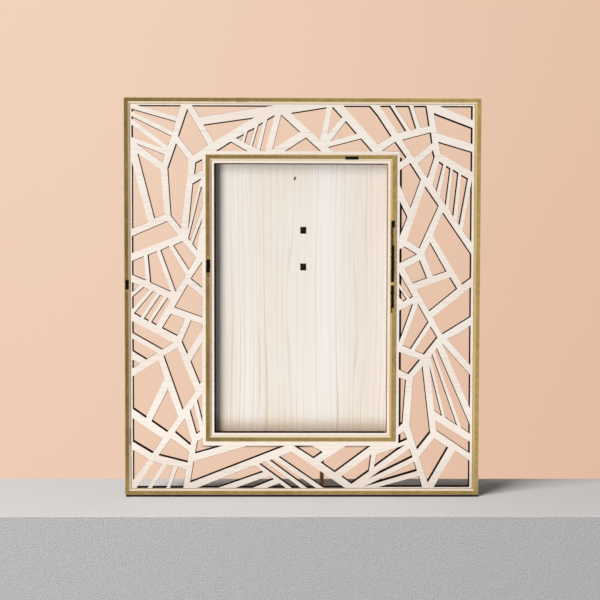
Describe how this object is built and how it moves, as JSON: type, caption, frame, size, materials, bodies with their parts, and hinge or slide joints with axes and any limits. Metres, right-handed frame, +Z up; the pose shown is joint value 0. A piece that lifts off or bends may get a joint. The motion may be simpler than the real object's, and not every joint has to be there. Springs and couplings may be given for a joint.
{
  "type": "picture frame",
  "caption": "Free-standing picture frame: a laser-cut lattice sheet with brass rims round the edge and the window, a glazed holder behind and a swing-out strut.",
  "frame": {"origin": "on the surface that the frame stands on, in the middle of the width and of the bottom rim's depth", "axes": "+X to the right seen from the front, +Y from the front to the back, +Z up"},
  "size_m": [0.187, 0.038, 0.2101],
  "materials": {
    "panel_wood": "pale laser-cut plywood with charred cut edges",
    "rim_brass": "aged brass with a brushed face and a paler bevel",
    "rail_wood": "dark stained wood",
    "board_wood": "plywood with upright grain",
    "glass": "clear picture glass",
    "hinge_steel": "blackened steel",
    "pin_steel": "plain steel",
    "strut_wood": "plywood with charred cut edges",
    "felt": "black felt"
  },
  "bodies": {
    "frame": {"lattice_panel": "panel_wood", "outer_rim_top": "rim_brass", "outer_rim_bottom": "rim_brass", "outer_rim_left": "rim_brass", "outer_rim_right": "rim_brass", "inner_rim_top": "rim_brass", "inner_rim_bottom": "rim_brass", "inner_rim_left": "rim_brass", "inner_rim_right": "rim_brass", "holder_rail_left": "rail_wood", "holder_rail_right": "rail_wood", "holder_rail_bottom": "rail_wood", "backing_board": "board_wood", "hinge_leaf": "hinge_steel", "hinge_rivet_upper": "hinge_steel", "hinge_rivet_lower": "hinge_steel", "hinge_pin": "pin_steel", "hinge_pin_cap": "pin_steel", "base_felt": "felt"},
    "glass": {"glass_pane": "glass"},
    "strut": {"strut": "strut_wood", "strut_leaf": "hinge_steel", "strut_rivet_upper": "hinge_steel", "strut_rivet_lower": "hinge_steel"}
  },
  "joints": [
    {"name": "strut_hinge", "type": "hinge", "parent": "frame", "child": "strut", "pos_m": [0.0115, 0.0109, 0.1315], "axis": [0, 0, 1], "range_deg": [-88, 88]},
    {"name": "glass_slide", "type": "slide", "parent": "frame", "child": "glass", "axis": [0, 0, 1], "range_m": [0, 0.165]}
  ]
}
